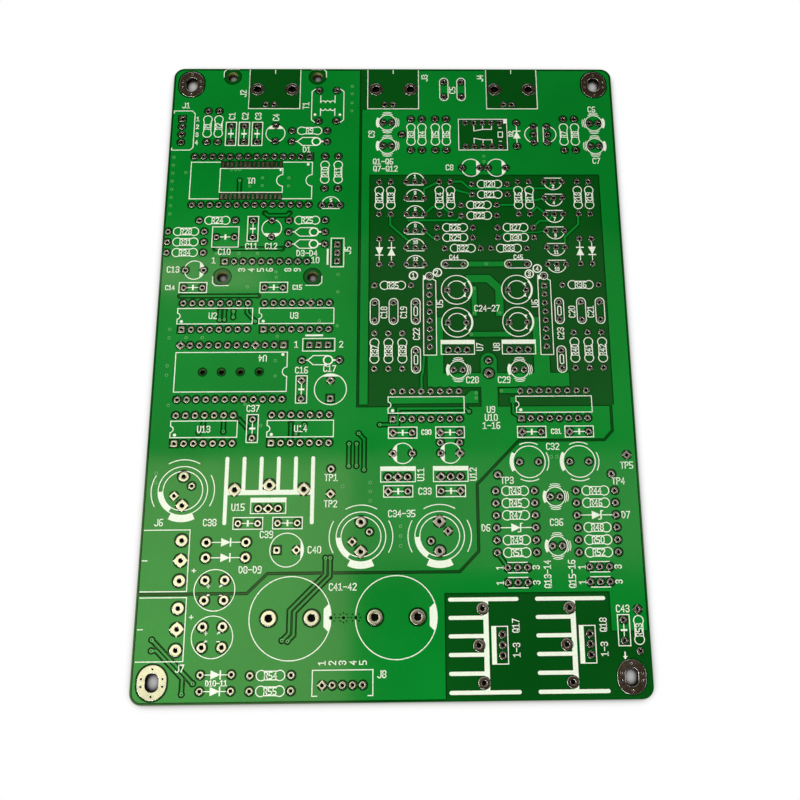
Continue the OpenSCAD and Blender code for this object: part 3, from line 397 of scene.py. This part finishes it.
# Generic reference designators as (text, x, y, turn), in millimetres from the middle of the board
LABELS = [
    ("J1", -60.7, 77.1, 0),
    ("J2", -44.2, 81.1, 90), ("C1", -47.1, 73.6, 90), ("C2", -43.3, 73.6, 90), ("C3", -39.5, 73.6, 90),
    ("C4", -34.3, 73.2, 90), ("T1", -25.7, 77.1, 90), ("D1", -25.1, 62.7, 0), ("U1", -40.7, 52.7, 180),
    ("Q1-Q6", -3, 58.8, 0), ("Q7-Q12", -2.3, 56.5, 0), ("J3", 9.2, 86.4, 90), ("J4", 25.7, 86.4, 90),
    ("C5", 17.4, 82.3, 90), ("C6", 58.4, 75.9, 0), ("C7", 58.9, 59.0, 0), ("C8", 16.2, 56.9, 0),
    ("C9", -6.4, 67.7, 90), ("C10", -47.3, 30.7, 0), ("C11", -39.8, 32.4, 0),
    ("C12", -34.3, 32.4, 0), ("D3-D4", -24.2, 30.2, 0), ("J5", -12.8, 31, 90), ("1", -50.1, 28.1, 0),
    ("10", -21.8, 28.1, 0), ("3", -42.2, 25.2, 90), ("4", -39.6, 25.2, 90), ("5", -37, 25.2, 90),
    ("6", -34.5, 25.2, 90), ("8", -29.4, 25.2, 90), ("9", -26.8, 25.2, 90), ("C13", -61.2, 25.4, 0),
    ("U2", -49.5, 11.7, 0), ("U3", -27.2, 11.7, 0),
    ("U4", -35.4, -0.6, 180), ("1", -26.4, 3.3, 0), ("2", -14.2, 3.3, 0), ("C16", -24.8, -4, 0),
    ("C17", -17.2, -3.6, 0), ("C18", -2.6, 12.5, 90), ("C19", 2.8, 12.5, 90), ("U5", 12.8, 15, 90),
    ("U6", 39.2, 15, 90), ("C20", 49.4, 12.5, 90), ("C21", 54.6, 12.5, 90), ("C22", 6.3, 6.2, 90),
    ("C23", 46, 6.2, 90), ("C24-27", 25.9, 13.6, 0), ("U7", 23.6, 2.4, 90), ("U8", 28.2, 2.4, 90),
    ("C28", 21.4, -7, 0), ("C29", 30, -7, 0), ("U9", 26.2, -15.3, 0), ("U10", 26.2, -17.5, 0),
    ("1-16", 26.2, -19.7, 0), ("C32", 42.3, -25.5, 0),
    ("TP5", 61.7, -30.7, 0), ("TP3", 29.9, -34.5, 0), ("TP4", 59.2, -34.9, 0), ("U11", 7.2, -32.8, 90),
    ("U12", 21, -32.8, 90), ("C33", 8.3, -37.2, 0), ("C34-35", 2.2, -43, 0), ("D6", 24, -46.9, 0),
    ("C36", 42.4, -45.6, 0), ("D7", 60.6, -43.8, 0), ("1", 27.3, -57.1, 90), ("3", 36.6, -57.1, 90),
    ("1", 27.3, -60.9, 90), ("3", 36.6, -60.9, 90), ("1", 48.4, -57.1, 90), ("3", 57.7, -57.1, 90),
    ("1", 48.4, -60.9, 90), ("3", 57.7, -60.9, 90),
    ("Q13-14", 39.5, -58.8, 90), ("Q15-16", 45.8, -58.8, 90),
    ("C37", -37.4, -14.6, 0), ("U13", -50.2, -20.2, 0), ("U14", -24.6, -20.2, 0), ("J6", -60.4, -44.8, 0),
    ("C38", -47.3, -44.9, 0), ("U15", -40.2, -41, 0), ("TP1", -16.3, -33.4, 0), ("TP2", -16.3, -40.3, 0),
    ("C39", -32.6, -48.1, 0), ("C40", -20.2, -52.1, 0),
    ("D8-D9", -36.4, -57, 0), ("C41-42", -12.8, -61.5, 0),
    ("J7", -52.8, -80.9, 0), ("1", -17.7, -80, 90), ("2", -15.1, -80, 90),
    ("3", -12.6, -80, 90), ("4", -10, -80, 90), ("5", -7.5, -80, 90), ("J8", -2.8, -82.8, 0),
    ("Q17", 30.9, -71.5, 90), ("1-3", 30.9, -77.4, 90), ("Q18", 53, -71.5, 90), ("1-3", 53, -77.4, 90),
    ("C43", 58.2, -67.6, 0),
]
# Designators and signs in narrow places, printed smaller
SMALL_LABELS = [
    ("1", -57, 72.6, 0), ("2", -57, 70.1, 0), ("3", -57, 67.5, 0), ("4", -57, 65, 0),
    ("D10-11", -43.6, -84.5, 0),
    ("1", 5.6, 23.4, 0), ("2", 12.1, 24.3, 0), ("3", 38, 23.8, 0), ("4", 40.3, 25.4, 0),
    ("C44", 17, 28.9, 0), ("C45", 35.1, 28.9, 0),
    ("+", -46.8, -61, 0), ("~", -43.6, -61, 0), ("~", -46.8, -63.3, 0), ("-", -43.6, -63.3, 0),
    ("+", -46.8, -72.5, 0), ("~", -43.6, -72.5, 0), ("~", -46.8, -74.6, 0), ("-", -43.6, -74.6, 0),
    ("D2", 34.3, 67.8, 90), ("C14", -61.7, 20, 0), ("C15", -26.6, 20, 0),
    ("C30", 8.8, -21.4, 0), ("C31", 43.4, -21.4, 0),
]
# Sizes of the lettering
GLYPH_WIDE = 4
GLYPH_HIGH = 6
GLYPH_GAP = 1.9
GLYPH_SQUEEZE = 0.74
LABEL_HEIGHT = 1.65 * MM
SMALL_HEIGHT = 1.25 * MM
RESISTOR_HEIGHT = 1.55 * MM
TRANSISTOR_HEIGHT = 0.95 * MM
TRANSISTOR_OFFSET = 1.6 * MM
STROKE = 0.24 * MM
# Running numbers: beads have the span of resistors but get none, and the numbered transistors stand in the
# two mirrored channels, behind CHANNEL_NEAR
RESISTOR_SPAN = 10.16 * MM
BEADS = [(-24.4, 65.3), (-24.4, 36.7), (-24.4, 33.0), (-19.7, -1.2)]
LEAD_PITCH = (2 * MM, 3 * MM)
CHANNEL_MIDDLE = 26.05 * MM
CHANNEL_NEAR = 20 * MM
SAME_PLACE = 0.05 * MM
# Reach of the probe that finds copper under a stroke, above and below the copper's top
PROBE_ABOVE = 1.0 * MM
PROBE_BELOW = 0.05 * MM


def ribbon(points, width):
    """Left and right rims of a mitred stroke along points."""
    p = np.asarray(points)
    d = np.diff(p, axis=0)
    d /= np.hypot(d[:, 0], d[:, 1])[:, None]
    p = p.copy()
    p[0] -= d[0] * width / 2
    p[-1] += d[-1] * width / 2
    a = np.vstack([d[:1], d])
    b = np.vstack([d, d[-1:]])
    n = np.stack([-(a + b)[:, 1], (a + b)[:, 0]], 1)
    n /= np.hypot(n[:, 0], n[:, 1])[:, None]
    cut = np.clip((n * np.stack([-a[:, 1], a[:, 0]], 1)).sum(1), 0.5, 1)
    side = n * (width / 2 / cut)[:, None]
    return p + side, p - side


def stroke_lines(text, x, y, turn, height):
    """Lines of a text centred on a place."""
    unit = height / GLYPH_HIGH
    wide = GLYPH_SQUEEZE * unit
    pitch = (GLYPH_WIDE + GLYPH_GAP) * wide
    left = -(len(text) * pitch - GLYPH_GAP * wide) / 2
    c, s = math.cos(math.radians(turn)), math.sin(math.radians(turn))
    for k, sign in enumerate(text):
        for line in GLYPHS[sign].split():
            flat = []
            for point in line.split(","):
                u = int(point[0]) * wide + k * pitch + left
                v = (int(point[1]) - GLYPH_HIGH / 2) * unit
                flat.append((x + u * c - v * s, y + u * s + v * c))
            yield flat


def pad_middles(node):
    """Middles of a node's pads, from the back to the front and from left to right."""
    middles = [tuple(Pad(points).centre) for points in islands(nodes[node])]
    return sorted(middles, key=lambda c: (-c[1], c[0]))


def resistor_labels():
    """A running number inside each printed resistor, from the two pads it lies between."""
    middles = pad_middles("resistor_pads")
    count = 0
    for i, a in enumerate(middles):
        for b in middles[i + 1:]:
            dx, dy = abs(a[0] - b[0]), abs(a[1] - b[1])
            x, y = (a[0] + b[0]) / 2, (a[1] + b[1]) / 2
            paired = abs(max(dx, dy) - RESISTOR_SPAN) < SAME_PLACE and min(dx, dy) < SAME_PLACE
            bead = any(math.hypot(x - u * MM, y - v * MM) < MM for u, v in BEADS)
            if paired and not bead:
                count += 1
                yield "R%d" % count, x, y, 90 if dy > dx else 0


def transistor_labels():
    """A number beside the middle pad of each small transistor, towards its round side."""
    middles = pad_middles("transistor_pads")
    count = 0
    for x, y in middles:
        row = [c for c in middles if abs(c[1] - y) < SAME_PLACE]
        beside = [c for c in row if LEAD_PITCH[0] < abs(c[0] - x) < LEAD_PITCH[1]]
        if len(beside) == 2 and y > CHANNEL_NEAR:
            count += 1
            offset = TRANSISTOR_OFFSET if x < CHANNEL_MIDDLE else -TRANSISTOR_OFFSET
            yield str(count), x, y + offset, 0


def printed_text(material):
    """All reference designators as one thin ink piece."""
    depsgraph = bpy.context.evaluated_depsgraph_get()
    copper = [BVHTree.FromObject(nodes[n], depsgraph) for n in
              ("digital_ground_plane", "analog_ground_plane", "signal_traces")]
    jobs = [(t, x * MM, y * MM, turn, LABEL_HEIGHT) for t, x, y, turn in LABELS]
    jobs += [(t, x * MM, y * MM, turn, SMALL_HEIGHT) for t, x, y, turn in SMALL_LABELS]
    jobs += [(*label, RESISTOR_HEIGHT) for label in resistor_labels()]
    jobs += [(*label, TRANSISTOR_HEIGHT) for label in transistor_labels()]
    verts, faces = [], []
    for job in jobs:
        for line in stroke_lines(*job):
            over = any(
                tree.ray_cast((x, y, TOP + PROBE_ABOVE), (0, 0, -1), PROBE_ABOVE + PROBE_BELOW)[0]
                for x, y in line for tree in copper)
            low = TOP if over else BARE_TOP
            left, right = ribbon(line, STROKE)
            first, n = len(verts), len(line)
            for z in (low + INK_LIFT, low):
                for rim in (left, right):
                    verts.extend((x, y, z) for x, y in rim)
            for i in range(n - 1):
                for a, b in ((0, n), (3 * n, 2 * n), (2 * n, 0), (n, 3 * n)):
                    faces.append(tuple(first + k for k in (a + i, b + i, b + i + 1, a + i + 1)))
            faces.append(tuple(first + k for k in (0, 2 * n, 3 * n, n)))
            faces.append(tuple(first + k + n - 1 for k in (0, n, 3 * n, 2 * n)))
    add_piece("designators", verts, faces, material)


def studio_white(name, painted_contact_shadow):
    """White to the eye and in reflections.

    With the contact shadow, an ambient occlusion mask paints a shadow under and close around the board,
    darkening both the glow and the grey.
    """
    s = Shader(name)
    s.bsdf.inputs["Roughness"].default_value = 0.8
    s.bsdf.inputs["Base Color"].default_value = (*STUDIO_GREY, 1)
    glow = s.add("ShaderNodeEmission")
    glow.inputs["Strength"].default_value = 1.0
    path = s.add("ShaderNodeLightPath")
    seen = s.math("MAXIMUM", path.outputs["Is Camera Ray"], path.outputs["Is Glossy Ray"])
    seen = s.math("MAXIMUM", seen, path.outputs["Is Transmission Ray"])
    if painted_contact_shadow:
        # Painted shadow: where the board hems the floor in, its white glow and grey base go dark
        shade = s.add("ShaderNodeAmbientOcclusion", samples=SHADE_SAMPLES)
        shade.inputs["Distance"].default_value = CONTACT_REACH
        open_sky = s.span(shade.outputs["AO"], *CONTACT_SPAN, 0.0, 1.0)
        s.link(s.mix(open_sky, CONTACT_SHADOW_DARK, STUDIO_GREY), s.bsdf.inputs["Base Color"])
        seen = s.math("MULTIPLY", seen, open_sky)
    blend = s.add("ShaderNodeMixShader")
    s.link(seen, blend.inputs[0])
    s.link(s.bsdf.outputs[0], blend.inputs[1])
    s.link(glow.outputs[0], blend.inputs[2])
    s.link(blend.outputs[0], s.tree.nodes["Material Output"].inputs["Surface"])
    return s.material


def studio():
    """A plain floor and a low round wall that closes off the view behind it."""
    bpy.ops.mesh.primitive_plane_add(size=FLOOR_SIZE, location=(0, 0, FLOOR_LEVEL))
    floor = bpy.context.object
    floor.name = "floor"
    floor.data.materials.append(studio_white("floor_white", True))
    bpy.ops.mesh.primitive_cylinder_add(
        vertices=WALL_SIDES, radius=STUDIO_RADIUS, depth=WALL_HEIGHT, end_fill_type="NOTHING",
        location=(0, 0, WALL_HEIGHT / 2 + FLOOR_LEVEL))
    wall = bpy.context.object
    wall.name = "wall"
    wall.data.materials.append(studio_white("wall_white", False))


# Low soft boxes all round, as (name, place, watts, colour): they light the lacquer, and the photograph's
# view shows no mirror image of them
LOW_BOXES = [
    ("left", (-0.72, -0.25, 0.4), 6.0, (1.0, 0.98, 0.92)),
    ("front", (-0.2, -0.72, 0.4), 5.4, (1.0, 0.98, 0.94)),
    ("right", (0.78, -0.1, 0.34), 1.9, (0.95, 0.98, 1.0)),
    ("back", (-0.1, 0.82, 0.3), 1.2, (0.95, 0.98, 1.0)),
]
LOW_BOX_SIZE = (0.5, 0.35)
# Five soft boxes overhead, as (name, low corner, high corner, watts, colour): they lay a sheen over parts of
# the board
OVERHEAD_BOXES = [
    ("overhead_left", (-0.42, -0.15), (-0.064, 0.133), 0.62, (1.0, 0.98, 0.62)),
    ("overhead_right", (-0.064, 0.011), (0.32, 0.135), 0.112, (1.0, 0.95, 0.80)),
    ("overhead_strip", (-0.32, 0.335), (-0.17, 0.372), 0.043, (1.0, 0.95, 0.68)),
    ("overhead_far_left", (-0.36, 0.16), (-0.064, 0.4), 0.078, (0.8, 1.0, 0.74)),
    ("overhead_far_right", (-0.064, 0.16), (0.36, 0.4), 0.063, (0.79, 1.0, 0.74)),
]
OVERHEAD_HEIGHT = 0.8


def area_light(name, place, aim, size, power, colour):
    """A rectangular soft box at a place, turned to its aim."""
    lamp = bpy.data.lights.new(name, "AREA")
    lamp.shape = "RECTANGLE"
    lamp.size, lamp.size_y = size
    lamp.energy = power
    lamp.color = colour
    obj = bpy.data.objects.new(name, lamp)
    obj.location = place
    obj.rotation_euler = (Vector(aim) - Vector(place)).to_track_quat("-Z", "Y").to_euler()
    bpy.context.scene.collection.objects.link(obj)


def lights():
    """All soft boxes of the studio."""
    for name, place, power, colour in LOW_BOXES:
        area_light(name, place, (0, 0, 0), LOW_BOX_SIZE, power, colour)
    for name, low, high, power, colour in OVERHEAD_BOXES:
        x, y = (low[0] + high[0]) / 2, (low[1] + high[1]) / 2
        size = (high[0] - low[0], high[1] - low[1])
        area_light(name, (x, y, OVERHEAD_HEIGHT), (x, y, 0), size, power, colour)


def room():
    """A dim, warm room, which the metal reflects."""
    world = bpy.data.worlds.new("studio")
    bpy.context.scene.world = world
    world.use_nodes = True
    background = world.node_tree.nodes["Background"]
    background.inputs["Color"].default_value = (*ROOM, 1)
    background.inputs["Strength"].default_value = 1.0


# Camera at the photograph's angle, for an 800 by 800 image
CAMERA_PLACE = (5.5 * MM, -78.2 * MM, 249.4 * MM)
CAMERA_TURN = (16.08, -1.13, -0.655)
FOCAL_PX = 954.2
SHIFT_PX = (34.8, -20.6)
IMAGE_PX = 800
SENSOR_MM = 36
NEAREST = 0.01


def photo_camera():
    """The camera that sees the board as the photograph does."""
    camera = bpy.data.cameras.new("camera")
    camera.sensor_width = SENSOR_MM
    camera.lens = FOCAL_PX / IMAGE_PX * camera.sensor_width
    camera.shift_x = -SHIFT_PX[0] / IMAGE_PX
    camera.shift_y = SHIFT_PX[1] / IMAGE_PX
    camera.clip_start = NEAREST
    eye = bpy.data.objects.new("camera", camera)
    eye.location = CAMERA_PLACE
    eye.rotation_euler = [math.radians(a) for a in CAMERA_TURN]
    bpy.context.scene.collection.objects.link(eye)
    bpy.context.scene.camera = eye


plane = lacquer("lacquered_copper", PLANE_GREEN, 0.0).material
tin = tin_material("tinned_copper", 0)
ink = ink_material()
dress("board", board_material())
for name in ("digital_ground_plane", "analog_ground_plane", "signal_traces", "underside_digital_plane",
             "underside_analog_plane"):
    dress(name, plane)
dress("via_barrels", lacquer("lacquered_vias", VIA_GREEN, 0.0).material)
dress("mounting_lands", tin_material("tinned_lands", LAND_RIM))
dress("surface_mount_lands", tin)
dress("legend", ink)
for name in [n for n in sorted(nodes) if n.endswith("_pads")]:
    dress(name, tin)
    tinned_pads(name, tin)
printed_text(ink)

studio()
lights()
room()
photo_camera()
bpy.context.scene.view_settings.view_transform = "Standard"
